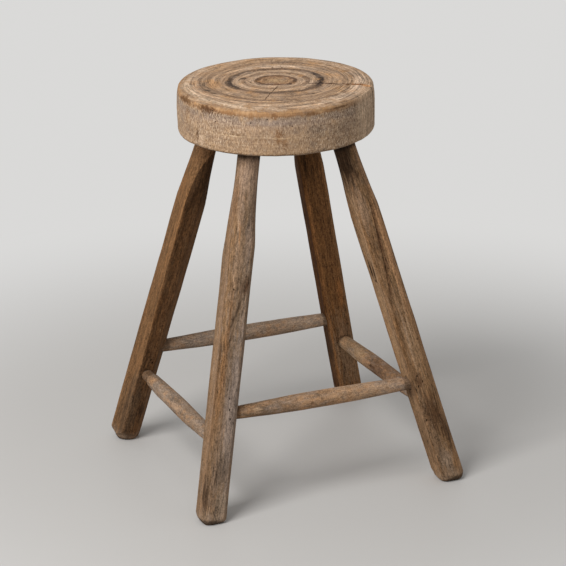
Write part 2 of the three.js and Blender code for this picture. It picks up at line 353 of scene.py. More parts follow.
# The long split runs on down the side, as a narrow groove, and worms have bored into the side. Each
# place is a length round it and a height.
WORM_HOLES = [(-0.013, 0.058), (-0.038, 0.052), (0.024, 0.047), (-0.103, 0.063), (-0.096, 0.048)]
WORM_RADIUS = 0.0008
WORM_DEPTH = 0.004
SIDE_SPLIT = [(0.204, 0.071), (0.205, 0.056), (0.204, 0.041), (0.2056, 0.026), (0.2048, 0.012)]
SIDE_SPLIT_WIDTH = 0.003
SIDE_SPLIT_DEPTH = 0.0035
for along, height in WORM_HOLES:
    mouth = on_side(along, height)
    splits.append(drill(mouth, on_slice(0, 0, height) - mouth, WORM_RADIUS, WORM_DEPTH))
groove = [on_side(along, height) for along, height in SIDE_SPLIT]
outwards = groove[2] - on_slice(0, 0, SIDE_SPLIT[2][1])
splits.append(wedge(groove, outwards, SIDE_SPLIT_WIDTH, SIDE_SPLIT_DEPTH))
cut(seat, splits)
smooth_over(seat)


def tone(red, green, blue):
    """The colour of a wood for a shader, from its parts as a paint card gives them, up to 255."""
    return tuple(((part / 255 + 0.055) / 1.055) ** 2.4 for part in (red, green, blue)) + (1,)


def both_sides(operation):
    """The two forms of a sign: for an amount before it and for an amount after it."""
    return (
        lambda self, other: self.reckon(operation, self, other),
        lambda self, other: self.reckon(operation, other, self),
    )


class Amount:
    """An amount that changes over a surface, such as how stained it is. Python's signs on it add
    Math nodes to its finish."""

    def __init__(self, finish, socket):
        self.finish = finish
        self.socket = socket

    def reckon(self, operation, *values):
        return self.finish.reckon(operation, *values)

    def __abs__(self):
        return self.reckon("ABSOLUTE", self)

    __add__, __radd__ = both_sides("ADD")
    __sub__, __rsub__ = both_sides("SUBTRACT")
    __mul__, __rmul__ = both_sides("MULTIPLY")
    __truediv__, __rtruediv__ = both_sides("DIVIDE")
    __pow__, __rpow__ = both_sides("POWER")


class Nodes:
    """The nodes of a finish or of the sky. One call adds any of them."""

    def __init__(self, tree):
        self.tree = tree

    def add(self, kind, settings=None, sockets=None, result=0):
        """Adds a node with its settings, then the values or links of its sockets."""
        node = self.tree.nodes.new("ShaderNode" + kind)
        for name, value in (settings or {}).items():
            if name == "stops":
                while len(node.color_ramp.elements) < len(value):
                    node.color_ramp.elements.new(1)
                for element, (place, colour) in zip(node.color_ramp.elements, value):
                    element.position = place
                    element.color = colour
            else:
                setattr(node, name, value)
        for name, value in (sockets or {}).items():
            if isinstance(value, Amount):
                self.tree.links.new(value.socket, node.inputs[name])
            else:
                node.inputs[name].default_value = value
        return Amount(self, node.outputs[result])

    def reckon(self, operation, *values):
        return self.add("Math", {"operation": operation}, dict(enumerate(values)))

    def fade(self, value, off, on):
        """From 0 where a value is off to 1 where it is on, smoothly."""
        return self.add("MapRange", {"interpolation_type": "SMOOTHSTEP"}, {
            "Value": value, "From Min": off, "From Max": on,
        })


DRY_WOOD_GLOSS = 0.06


class Finish(Nodes):
    """The finish of a piece, made in layers. Places on it are counted to the right, back and up from
    a point of the piece, and its colour so far is what the next stain goes over."""

    def __init__(self, name, origin, turn):
        self.material = bpy.data.materials.new(name)
        self.material.use_nodes = True
        super().__init__(self.material.node_tree)
        here = self.add("TexCoord", result="Object")
        self.place = self.add(
            "Mapping", {"vector_type": "TEXTURE"},
            {"Vector": here, "Location": origin, "Rotation": turn},
        )
        split = self.add("SeparateXYZ", {}, {0: self.place}).socket.node
        self.right, self.back, self.up = [Amount(self, socket) for socket in split.outputs]
        self.colour = None

    def marks(self, across, along, detail=2, shift=0, place=None):
        """Cloudy marks from 0 to 1, so many to the metre across the piece and along it."""
        spread = self.add("Mapping", {}, {
            "Vector": place or self.place, "Location": (shift,) * 3, "Scale": (across, across, along),
        })
        return self.add("TexNoise", {}, {"Vector": spread, "Scale": 1, "Detail": detail})

    def spot(self, centre, size, turn, ragged):
        """An oval spot: 1 in its middle and 0 past its size, with as ragged an edge as given. Its
        middle and its size are in millimetres, and its turn is in degrees."""
        near = self.add("Mapping", {"vector_type": "TEXTURE"}, {
            "Vector": self.place, "Location": [part / 1000 for part in centre],
            "Scale": [part / 1000 for part in size], "Rotation": [math.radians(part) for part in turn],
        })
        away = self.add("VectorMath", {"operation": "LENGTH"}, {0: near}, "Value")
        return self.fade(away + ragged, 1, 0.3)

    def tint(self, value, span, stops):
        """A colour by a value, from stops that each have a value and a colour."""
        low, high = span
        return self.add("ValToRGB", {
            "stops": [((at - low) / (high - low), tone(*colour)) for at, colour in stops],
        }, {0: (value - low) / (high - low)})

    def stain(self, share, colour):
        """Covers a share of the colour so far with another."""
        over = colour if isinstance(colour, Amount) else tone(*colour)
        self.colour = self.add("Mix", {"data_type": "RGBA"}, {
            0: share, 6: self.colour, 7: over,
        }, 2)

    def tinge(self, value, off, on, share, colour):
        """Stains a share of the colour so far where a value is on."""
        self.stain(self.fade(value, off, on) * share, colour)

    def both_ways(self, marks, high, low):
        """Stains it with one colour where some marks are high and with another where they are low."""
        self.tinge(marks, *high)
        self.tinge(marks, *low)

    def shade(self, level):
        """Makes the colour so far lighter or darker."""
        self.colour = self.add("VectorMath", {"operation": "SCALE"}, {
            0: self.colour, "Scale": level,
        })

    def facing_up(self):
        """From 1 where the surface faces up to -1 where it faces down."""
        way = self.add("NewGeometry", result="Normal")
        return self.add("SeparateXYZ", {}, {0: way}, "Z")

    def put_on(self, piece, roughness, relief):
        """Puts the finish on a piece, with its roughness and its relief in millimetres."""
        shader = self.tree.nodes["Principled BSDF"]
        shader.inputs["Specular IOR Level"].default_value = DRY_WOOD_GLOSS
        bump = self.add("Bump", {}, {"Height": relief, "Distance": 0.001}, "Normal")
        self.tree.links.new(self.colour.socket, shader.inputs["Base Color"])
        self.tree.links.new(roughness.socket, shader.inputs["Roughness"])
        self.tree.links.new(bump.socket, shader.inputs["Normal"])
        piece.data.materials.clear()
        piece.data.materials.append(self.material)


TAN = (166, 137, 110)
BROWN = (142, 115, 91)
DARK = (106, 84, 67)
BLACK = (66, 54, 47)
ORANGE = (172, 130, 89)
GREY = (140, 120, 103)

# In the tables of colours, places and sizes are in millimetres. The rings, by their reach:
RINGS = [
    (0, (186, 156, 120)), (3.5, (140, 108, 78)), (7, (182, 152, 116)), (10.5, (134, 102, 74)),
    (14, (172, 140, 106)), (18, (128, 96, 70)), (22, (160, 128, 98)), (26.5, (124, 92, 68)),
    (29.5, (90, 68, 52)), (31.5, (122, 95, 75)), (34, (168, 140, 115)), (40, (180, 152, 126)),
    (44, (163, 135, 110)), (50, BROWN), (55, (180, 152, 126)), (60, (178, 150, 124)),
    (62, (140, 113, 90)), (64.5, (172, 144, 118)), (68, (112, 90, 72)), (71, (108, 86, 70)),
    (75, BROWN), (80, (160, 131, 105)), (94, TAN), (101, (158, 129, 103)), (105, BROWN),
    (109, (164, 135, 108)), (116, (146, 118, 93)), (123, (172, 143, 117)), (132, (180, 153, 128)),
    (140, (164, 138, 114)), (150, (150, 124, 100)),
]
# Where a ring is darker or paler than the rest of it: its reach, half its width, the bearing from
# the pith, how far to either side that goes, the colour and its share
RING_STAINS = [
    (70, 7, 8, 60, BLACK, 0.95), (70, 5.8, -172, 42, BLACK, 0.95), (69, 5, 112, 80, (92, 74, 60), 0.8),
    (68, 5.5, -75, 60, (92, 74, 60), 0.8), (50, 5, 8, 46, DARK, 0.85), (49, 6, 167, 17, BLACK, 0.7),
    (49.5, 4.5, 112, 48, BROWN, 0.7), (30, 4.5, -10, 34, DARK, 0.8),
    (28.5, 5, 135, 60, (98, 74, 56), 0.7), (23.5, 7, -95, 46, (112, 82, 62), 0.75),
    (30.2, 2.6, -90, 175, (78, 58, 45), 0.8), (106.6, 1.4, -105, 30, (84, 64, 50), 0.85),
    (136.5, 8.5, -152, 52, (200, 176, 150), 0.75), (129, 1.6, -95, 70, (122, 96, 74), 0.6),
    (104.5, 4.5, -108, 50, DARK, 0.65), (106, 5, 78, 34, DARK, 0.5), (111, 9, -163, 24, DARK, 0.25),
    (118, 2.5, -42, 30, DARK, 0.5), (118, 2.5, 165, 26, DARK, 0.35), (88, 6.5, -67, 17, DARK, 0.5),
    (82, 6, -35, 30, GREY, 0.6), (129, 12, -90, 70, (176, 148, 122), 0.3),
    (86, 11, 85, 66, (200, 173, 148), 0.75), (108, 5, 92, 62, BROWN, 0.55),
    (122, 12, 105, 75, (180, 147, 115), 0.6), (129, 12, -20, 44, (196, 170, 146), 0.7),
]
# Spots on the top, each with its middle, size, turn, colour and share
TOP_SPOTS = [
    ((-91, -6), (16, 30), 0, ORANGE, 0.6), ((-106, -33), (22, 7), -48, (118, 98, 80), 0.3),
    ((-103, -34), (8, 5), -40, (74, 60, 50), 0.85), ((-93, -51), (10, 3.6), -36, (78, 62, 50), 0.85),
    ((-49, 24.5), (9, 7.5), 0, (72, 58, 49), 0.85), ((78, -8), (12, 4.5), -5, BLACK, 0.8),
    ((138, -22.5), (14, 7.5), -32, (184, 130, 82), 0.8),
    ((119, -16.2), (22, 5.5), -6, (116, 76, 45), 0.95),
    ((90, -12.2), (27, 4.2), -15.5, (80, 55, 38), 0.95), ((60, -7.8), (17, 3.2), 3, (76, 58, 46), 0.8),
    ((0, -32), (19, 2.2), 74, (100, 74, 54), 0.7), ((-13, -78), (24, 1.6), 77, (84, 62, 46), 0.7),
    ((81.5, -106), (14, 5), 36, (186, 160, 134), 0.6), ((79, -110.5), (16, 2), 36, (98, 72, 52), 0.8),
    ((-4, 83.5), (2.2, 7), 0, DARK, 0.6), ((10.3, 81), (2.2, 7), 0, DARK, 0.6),
]
# The side, by the height on it
SIDE_BANDS = [
    (0, (92, 70, 50)), (2, (116, 90, 66)), (4.2, (166, 135, 104)), (6, (160, 131, 103)),
    (24, (157, 129, 103)), (28.3, (161, 133, 106)), (29.5, (182, 153, 124)), (31, (160, 132, 105)),
    (44, (160, 133, 109)), (50, (152, 129, 111)), (56, (144, 124, 108)), (59.5, (142, 120, 100)),
    (61.8, (134, 101, 71)), (64.5, (150, 113, 79)), (68, (168, 130, 92)), (69.8, (142, 110, 82)),
    (70.8, (174, 144, 116)), (72, (180, 152, 126)),
]

slab = Finish("seat end grain and side", on_slice(0, 0, seat_thickness), (0, 0, SPLIT_BEARING))
to_right, to_back, upwards = slab.right, slab.back, slab.up
ragged = slab.marks(260, 260, 3) - 0.5
wander = slab.marks(24, 24) - 0.5
reach = ring_reach(to_right, to_back) + wander * 0.007
swirl = slab.marks(120, 120, 2, 71) - 0.5
reach = reach + swirl * 0.022 * slab.fade(reach, 0.029, 0.018)
out_right = to_right / (reach + 0.001)
out_back = (to_back - PITH_BACK) / (reach + 0.001)


def facing(bearing, width):
    """1 at a bearing from the pith, and 0 from so many degrees to either side of it."""
    turn = math.radians(bearing)
    near = out_right * math.cos(turn) + out_back * math.sin(turn)
    return slab.fade(near, math.cos(math.radians(width)), math.cos(math.radians(width * 0.3)))


reach = reach + facing(-105, 70) * 0.004
polar = slab.add("CombineXYZ", {}, {0: out_right, 1: out_back, 2: reach})
fine_rings = slab.marks(2.4, 430, 3, place=polar)
thin_rings = slab.marks(5, 1000, 2, place=polar)
rays = slab.marks(45, 30, 3, place=polar)
blots = slab.marks(45, 45, 3, 7)
pores = slab.marks(900, 300, 1, 3)

slab.colour = slab.tint(reach * 1000, (0, 150), RINGS)
ring_hues = slab.marks(2.5, 190, 3, 61, polar)
rim_blots = slab.marks(9, 110, 3, 79, polar)
near_rim = slab.fade(reach, 0.105, 0.120)
slab.both_ways(ring_hues, (0.52, 0.68, 0.35, (182, 142, 102)), (0.48, 0.32, 0.35, (140, 120, 104)))
for at, half, bearing, width, colour, share in RING_STAINS:
    on_ring = slab.fade(abs((reach + ragged * 0.016) * 1000 - at), half, half * 0.35)
    slab.stain(on_ring * facing(bearing, width) * share, colour)
slab.both_ways(
    rim_blots, (0.51, 0.65, near_rim * 0.45, (200, 172, 144)),
    (0.49, 0.35, near_rim * 0.5, (146, 113, 83)),
)
slab.both_ways(blots, (0.52, 0.7, 0.55, GREY), (0.46, 0.3, 0.55, ORANGE))
for (x, y), (long, wide), turn, colour, share in TOP_SPOTS:
    spot = slab.spot((x, y, 0), (long, wide, 20), (0, 0, turn), ragged * 1.2)
    slab.stain(spot * share, colour)
top_flecks = slab.marks(300, 300, 2, 37) + slab.marks(620, 620, 1, 43) - 1
slab.shade(
    (fine_rings - 0.5) * 2.3 + (thin_rings - 0.5) * 1.6 + (rays - 0.5) * 0.6 + top_flecks * 1.0 + 1.04
)
end_grain = slab.colour

# The bark side is scratched upright. Its high fibres are bleached, and dirt lies between them.
side_strokes = slab.marks(860, 230, 1, 11)
side_grit = slab.marks(980, 620, 0, 51)
side_patches = slab.marks(130, 90, 3, 19)
side_blots = slab.marks(48, 60, 3, 17)
side_flecks = slab.marks(420, 170, 2, 23)
side_lines = slab.marks(7, 330, 2, 29)
round_side = to_right.reckon("ARCTAN2", to_right, to_back * -1) * seat_radius
height = upwards + seat_thickness
upright_lines = slab.marks(430, 12, 2, 67)
far_right = slab.fade(round_side, 0.125, 0.165) * slab.fade(round_side, 0.330, 0.260)
greyer = slab.fade(round_side, 0.070, 0.130) * slab.fade(round_side, 0.440, 0.340)
banded = height + ragged * 0.005 + (side_blots - 0.5) * 0.01
slab.colour = slab.tint(banded * 1000, (0, seat_thickness * 1000), SIDE_BANDS)
slab.both_ways(side_blots, (0.52, 0.7, 0.5, (172, 139, 104)), (0.46, 0.28, 0.55, (128, 111, 98)))
slab.both_ways(side_patches, (0.52, 0.68, 0.5, (184, 150, 116)), (0.47, 0.3, 0.5, (126, 104, 86)))
slab.stain(greyer * 0.30, (138, 119, 103))
slab.stain(far_right * 0.75, (194, 166, 138))
# Spots on the side, each with its place round the side from the front, its height, its size, its
# colour and its share
SIDE_SPOTS = [
    ((-115, 63.2), (28, 7.6), (84, 56, 35), 0.9), ((-172, 64.5), (30, 6.6), (88, 60, 38), 0.85),
    ((-75, 64), (16, 5), (140, 102, 68), 0.7), ((-38, 61), (5, 8.5), (128, 90, 56), 0.7),
    ((-20, 64), (45, 5.5), (166, 126, 88), 0.5), ((-1.5, 62), (6, 6), (118, 82, 52), 0.75),
    ((54, 62.5), (14, 4), (112, 80, 52), 0.75), ((103, 64.5), (22, 2.4), (98, 70, 46), 0.8),
    ((4, 32), (8, 16), (124, 86, 52), 0.75), ((13, 22), (5, 14), (132, 96, 62), 0.6),
    ((-160, 40), (12, 30), (148, 114, 80), 0.45), ((-128, 16), (12, 12), (196, 168, 140), 0.6),
    ((-135, 20), (4, 14), (90, 64, 43), 0.8), ((204.6, 40), (5, 44), (70, 50, 35), 0.85),
    ((135, 58), (4, 9), (104, 84, 66), 0.6), ((62, 38), (20, 16), (124, 107, 94), 0.5),
    ((-12, 52), (50, 5.5), (148, 130, 118), 0.5), ((-66, 30.2), (24, 1.4), (206, 174, 138), 0.7),
    ((6, 28.4), (20, 1.4), (206, 174, 138), 0.6), ((-62, 32), (18, 2.2), (118, 88, 60), 0.6),
    ((-20, 26.5), (16, 2), (126, 96, 68), 0.55), ((110, 30), (16, 22), (128, 106, 88), 0.5),
    ((150, 44), (10, 14), (196, 170, 142), 0.45),
]


def from_spot(along, at, wide, high):
    """How far a place on the side is from a spot's middle, which is 1 where the spot ends."""
    sideways = (round_side - along) / wide
    upright = (height - at) / high
    return (sideways * sideways + upright * upright) ** 0.5


for (along, at), (wide, high), colour, share in SIDE_SPOTS:
    away = from_spot(along / 1000, at / 1000, wide / 1000, high / 1000) + ragged * 1.6
    slab.tinge(away, 1, 0.35, share, colour)
grit = ((side_strokes - 0.5) * 1.7 + (side_grit - 0.5) * 0.8) * slab.fade(height, 0.068, 0.058)
grit = grit * (1 - slab.fade(abs(round_side), 0.085, 0.030) * 0.3)
slab.both_ways(grit, (0.03, 0.42, 0.72, (210, 186, 160)), (-0.03, -0.42, 0.74, (94, 72, 54)))
slab.shade(
    (side_flecks - 0.5) * 0.8 + (side_lines - 0.5) * 0.6 + (upright_lines - 0.5) * far_right * 2.2 + 1.05
)
WORM_STAIN = 0.0013
for along, at in WORM_HOLES:
    slab.tinge(from_spot(along, at, WORM_STAIN, WORM_STAIN), 1, 0.5, 0.9, (44, 32, 24))

# The side takes over from the end grain on the worn edge, and the underside is dusty end grain.
side_share = slab.fade(upwards + ragged * 0.004 + wander * 0.004, -0.0012, -0.0032)
underside = slab.fade(slab.facing_up(), -0.55, -0.85)
side_grain = slab.colour
slab.colour = end_grain
slab.stain(side_share, side_grain)
dusty = slab.add("Mix", {"data_type": "RGBA"}, {
    0: 0.5, 6: end_grain, 7: tone(112, 94, 78),
}, 2)
slab.stain(underside, dusty)
slab.put_on(
    seat,
    slab.fade(fine_rings, 0.3, 0.7) * 0.12 + 0.72,
    (fine_rings - thin_rings * 0.4 + pores * 0.3) * (1 - side_share) * 0.22
    + (side_strokes * 0.5 + side_flecks * 0.4) * side_share * 0.5,
)

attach(seat, "root")
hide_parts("seat")


# The legs
# Four square billets, each with its corners shaved off by eye, rounded to a neck and a tapered
# tenon at its top, driven into a blind hole under the seat, and cut level with the floor.

# Each leg's bearing from the seat's middle, its billet's width, the flats on its four corners from
# the back right one round to the left, how far the billet is off the leg's own middle, and the
# lengths of its neck and of the swell below that. Its head and foot are so far out and round from
# where they should be. Its small holes are each a place across its front and along it. The back left
# leg is turned in its hole, and its billet is twisted.
LEGS = {
    "front_left": {
        "bearing": 225, "width": 0.0395, "corners": (0.008, 0.002, 0.01, 0.0075), "off centre": 0.001,
        "neck": 0.04, "swell": 0.125, "head": (0.0005, -0.0014), "foot": (-0.0011, -0.008),
        "foot power": 4,
        "holes": [(0.0026, 0.1887), (0.0042, 0.1719), (0.0066, 0.1578), (-0.009, 0.3518)],
    },
    "front_right": {
        "bearing": 315, "width": 0.041, "corners": (0.008, 0.005, 0.003, 0.012), "off centre": 0.0015,
        "neck": 0.028, "swell": 0.114, "head": (-0.0002, -0.0001), "foot": (-0.0003, 0.0004),
        "foot power": 4,
        "holes": [
            (0.0106, 0.2296), (-0.0083, 0.1754), (-0.0111, 0.1596), (-0.0021, 0.1641), (-0.015, 0.105),
        ],
    },
    "back_right": {
        "bearing": 45, "width": 0.0405, "corners": (0.008, 0.008, 0.008, 0.008), "off centre": 0,
        "neck": 0.022, "swell": 0.105, "head": (-0.0008, 0.0017), "foot": (0.0103, -0.0052),
        "foot power": 3, "holes": [],
    },
    "back_left": {
        "bearing": 135, "turn": 4, "twist": -12, "width": 0.043, "corners": (0.008, 0.003, 0.0015, 0.019),
        "off centre": 0.0045, "neck": 0.038, "swell": 0.102, "head": (0.0004, 0.0001),
        "foot": (-0.0089, 0.0095), "foot power": 2, "holes": [(0.001, 0.1481), (-0.003, 0.1533)],
    },
}
HEAD_SPREAD = 0.104
FOOT_SPREAD = 0.2775
NECK_RADIUS = 0.0175
TIP_RADIUS = 0.0155
TENON_DEPTH = 0.048
SWELL_FLARE = 0.0085
SWELL_CURVE = 1.6
SWELL_STEPS = 12
SWELL_RUN_OUT = 0.012
BILLET_SPARE = 1.3
PAST_FOOT = 0.05
CLEAR_OF_BILLET = 0.06
# How round the foot is worn: how far from the middle of its wear it may reach at each height, on
# its four sides. That middle is upright, and meets the leg's own middle a little over the floor.
# A foot is worn to a circle where its power is 2, and keeps more of its corners with a higher one.
FOOT_WEAR = [
    (-0.01, 0.015), (0, 0.015), (0.0015, 0.0172), (0.004, 0.0192), (0.01, 0.0213),
    (0.015, 0.0262), (0.022, 0.032), (0.03, 0.07), (0.7, 0.5),
]
WEAR_MEETS_LEG = 0.011
JOINT_GAP = 0.0003
LEG_GRAIN = 0.0014
FOOT_FLAT = 0.0008
LEG_PITH = (0.05, 0.035)
LEG_HOLE_RADIUS = 0.0012
LEG_HOLE_DEPTH = 0.006

# Torn grain on the front right leg: which way each split faces, its width, its depth and its places
LEG_SPLITS = {
    "front_right": [
        ((0, -1, 0), 0.0032, 0.0018, [
            (0.0037, -0.02, 0.462), (0.003, -0.0203, 0.44), (0.0021, -0.0205, 0.42),
            (0.0004, -0.0205, 0.394), (-0.0017, -0.0205, 0.368), (-0.0045, -0.0205, 0.341),
            (-0.0083, -0.0205, 0.315), (-0.0121, -0.0205, 0.3),
        ]),
        ((-1, 0, 0), 0.0022, 0.0018, [
            (-0.019, 0.0018, 0.366), (-0.019, 0.0022, 0.356), (-0.019, 0.0018, 0.346),
            (-0.019, 0.0024, 0.336),
        ]),
        ((-1, 0, 0), 0.0022, 0.0018, [
            (-0.019, -0.0066, 0.362), (-0.019, -0.0072, 0.352), (-0.019, -0.007, 0.344),
            (-0.019, -0.0076, 0.334),
        ]),
    ],
}


def beside(bearing, outwards, sideways, height):
    """A place so far from the seat's middle, and so far round it, at a height over the floor."""
    turned = Matrix.Rotation(math.radians(bearing), 3, "Z") @ Vector((outwards, sideways, height))
    return turned + Vector((seat_middle.x, seat_middle.y, 0))


def extrude_to(rings):
    """Draws the chosen end of a turned piece out through rings, each a height and a radius."""
    for (low, was), (high, radius) in zip(rings, rings[1:]):
        bpy.ops.mesh.extrude_region_move(TRANSFORM_OT_translate={"value": (0, 0, high - low)})
        bpy.ops.transform.resize(value=(radius / was, radius / was, 1), center_override=(0, 0, high))


def turned_piece(name, rings, sides):
    """A round piece along Z, through rings that each have a height and a radius."""
    start()
    height, radius = rings[0]
    bpy.ops.mesh.primitive_circle_add(
        vertices=sides, radius=radius, fill_type="NGON", location=(0, 0, height),
    )
    piece = begin(name)
    bpy.ops.mesh.select_all(action="SELECT")
    extrude_to(rings)
    bpy.ops.mesh.select_all(action="SELECT")
    bpy.ops.mesh.normals_make_consistent(inside=False)
    bpy.ops.object.mode_set(mode="OBJECT")
    return piece


def shave_corner(width, off_centre, right, back, size):
    """Shaves a flat on one long corner of a square billet."""
    x = off_centre + right * width / 2
    y = back * width / 2
    choose_edges(lambda a, b: (
        max(abs(a.x - x), abs(b.x - x), abs(a.y - y), abs(b.y - y)) < HAIR
    ))
    bpy.ops.mesh.bevel(offset=size, offset_type="OFFSET", segments=1, affect="EDGES")


legs = {}
placements = {}
billet_lengths = {}
for place, leg in LEGS.items():
    foot = beside(leg["bearing"], FOOT_SPREAD + leg["foot"][0], leg["foot"][1], 0)
    head = beside(leg["bearing"], HEAD_SPREAD + leg["head"][0], leg["head"][1], seat_low.z)
    upwards = (head - foot).normalized()
    backwards = upwards.cross(Vector((1, 0, 0))).normalized()
    rightwards = backwards.cross(upwards)
    placement = Matrix((rightwards, backwards, upwards)).transposed().to_4x4()
    placement @= Matrix.Rotation(math.radians(leg.get("turn", 0)), 4, "Z")
    placement.translation = foot
    length = (head - foot).length
    tenon = TENON_DEPTH / upwards.z
    billet_lengths[place] = length + tenon
    width = leg["width"]

    start()
    bpy.ops.mesh.primitive_cube_add(
        size=1, location=(leg["off centre"], 0, length / 2), scale=(width, width, length * BILLET_SPARE),
    )
    billet = begin(f"leg_{place}_shaved")
    for (right, back), size in zip(((1, 1), (-1, 1), (-1, -1), (1, -1)), leg["corners"]):
        shave_corner(width, leg["off centre"], right, back, size)
    floor_way = placement.to_3x3().transposed() @ Vector((0, 0, 1))
    bpy.ops.mesh.select_all(action="SELECT")
    bpy.ops.mesh.bisect(plane_co=(0, 0, 0), plane_no=floor_way, use_fill=True, clear_inner=True)
    bpy.ops.object.mode_set(mode="OBJECT")

    worn = turned_piece("foot wear", FOOT_WEAR, 48)
    for point in worn.data.vertices:
        way = point.co.xy.normalized()
        power = leg["foot power"]
        squared = (abs(way.x) ** power + abs(way.y) ** power) ** (-1 / power)
        point.co.x *= squared
        point.co.y *= squared
    middle = placement @ Vector((leg["off centre"], 0, WEAR_MEETS_LEG / upwards.z))
    worn.data.transform(placement.inverted() @ Matrix.Translation((middle.x, middle.y, 0)))
    cut(billet, [worn], keep="INTERSECT")

    neck_end = length - leg["neck"]
    swell_low = neck_end - leg["swell"] - SWELL_RUN_OUT
    rings = [(-PAST_FOOT, CLEAR_OF_BILLET), (swell_low, CLEAR_OF_BILLET)]
    for step in range(SWELL_STEPS + 1):
        left = 1 - step / SWELL_STEPS
        radius = NECK_RADIUS + SWELL_FLARE * left ** SWELL_CURVE
        rings.append((neck_end - left * leg["swell"], radius))
    rings += [(length, NECK_RADIUS), (length + tenon, TIP_RADIUS)]
    rounding = turned_piece("rounding", rings, 64)
    cut(billet, [rounding], keep="INTERSECT")
    work(billet, "REMESH", mode="VOXEL", voxel_size=LEG_GRAIN, use_smooth_shade=True)
    work(billet, "SMOOTH", factor=0.5, iterations=2)
    roughen(billet, 0.016, 0.090, 0.0010, level=0.65)
    roughen(billet, 0.004, 0.050, 0.0005, level=0.8)
    twist = math.radians(leg.get("twist", 0))
    work(billet, "SIMPLE_DEFORM", deform_method="TWIST", deform_axis="Z", angle=twist)
    billet.data.transform(placement)
    start()
    bpy.context.view_layer.objects.active = billet
    bpy.ops.object.mode_set(mode="EDIT")
    choose_points(lambda point: point.z < FOOT_FLAT)
    bpy.ops.transform.resize(value=(1, 1, 0), center_override=(0, 0, 0))
    bpy.ops.object.mode_set(mode="OBJECT")
    legs[place] = billet
    placements[place] = placement

    front = -width / 2
    inwards = placement.to_3x3() @ Vector((0, 1, 0))
    damage = [
        drill(placement @ Vector((x, front, z)), inwards, LEG_HOLE_RADIUS, LEG_HOLE_DEPTH, 1.8)
        for x, z in leg["holes"]
    ]
    for outwards, widest, deepest, points in LEG_SPLITS.get(place, []):
        damage.append(wedge(
            [placement @ Vector(point) for point in points], placement.to_3x3() @ Vector(outwards),
            widest, deepest,
        ))
    if damage:
        cut(billet, damage)

    mouth = turned_piece("hole", [
        (length - leg["neck"], NECK_RADIUS + JOINT_GAP), (length, NECK_RADIUS + JOINT_GAP),
        (length + tenon + JOINT_GAP, TIP_RADIUS + JOINT_GAP),
    ], 64)
    mouth.data.transform(placement)
    cut(seat, [mouth])
    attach(billet, "root")
    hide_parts(f"leg_{place}")


SWEEP_FROM = 0.43
SWEEP_TO = 0.525


def timber(name, placement, tints, pith, warm, cool, twist=0, short=1, sweep=0):
    """The finish of a stick shaved along its grain, with its tints round it, each at a bearing from
    its front in degrees, that twist so many degrees to the metre and sweep further round its neck.
    Its growth rings go round a pith beside it, and it has weathered to a warm and a cool colour in
    patches. Its marks can be so many times as short."""
    wood = Finish(name, placement.translation, placement.to_euler())

    def marks(wide, long, detail, shift, place=None):
        return wood.marks(wide, long * short, detail, shift, place)

    wood.ragged = marks(300, 30, 3, 0) - 0.5
    wander = marks(45, 5, 2, 3) - 0.5
    girth = wood.right.reckon("ARCTAN2", wood.right, wood.back * -1) * math.degrees(1)
    if sweep:
        on_neck = wood.add("MapRange", {}, {
            "Value": wood.up, "From Min": SWEEP_FROM, "From Max": SWEEP_TO,
        })
        girth = girth - on_neck ** 3 * sweep
    wood.girth = girth - wood.up * twist + wander * 10 + wood.ragged * 6
    wood.colour = wood.tint(wood.girth, (-180, 180), tints)

    aside = wood.right - pith[0]
    behind = wood.back - pith[1]
    reach = (aside * aside + behind * behind) ** 0.5 + (marks(14, 3.5, 2, 5) - 0.5) * 0.016
    growth = wood.add("CombineXYZ", {}, {0: reach, 2: wood.up})
    wood.grain = marks(330, 9, 3, 9, growth)
    wood.fibres = marks(540, 55, 3, 13)
    wood.streaks = marks(130, 8, 3, 17)
    wood.flecks = marks(440, 150, 2, 41) + marks(600, 420, 1, 47) - 1
    weather = marks(40, 8, 3, 21)
    hues = marks(300, 60, 2, 57)
    checks = marks(380, 40, 2, 27)
    pores = marks(1000, 260, 1, 31)

    for patches, share in ((weather, 0.4), (hues, 0.45)):
        wood.both_ways(patches, (0.52, 0.7, share, cool), (0.46, 0.3, share, warm))
    wood.tinge(wood.grain, 0.56, 0.68, 0.3, (84, 61, 42))
    wood.tinge(checks, 0.6, 0.7, 0.4, (58, 42, 30))
    wood.tinge(pores, 0.58, 0.68, 0.35, (66, 48, 34))
    wood.relief = wood.fibres * 0.25 + wood.grain * 0.35 - wood.fade(checks, 0.64, 0.74) * 0.4
    return wood


def put_timber_on(piece, wood, contrast=1):
    """Gives the streaks of the wood their light and dark, and puts it on a piece."""
    wood.shade((
        (wood.streaks - 0.5) * 1.0 + (wood.fibres - 0.5) * 1.3 + (wood.grain - 0.5) * 0.7
        + wood.flecks * 1.3
    ) * contrast + 1.03)
    wood.put_on(piece, wood.fade(wood.streaks, 0.3, 0.7) * 0.14 + 0.70, wood.relief)


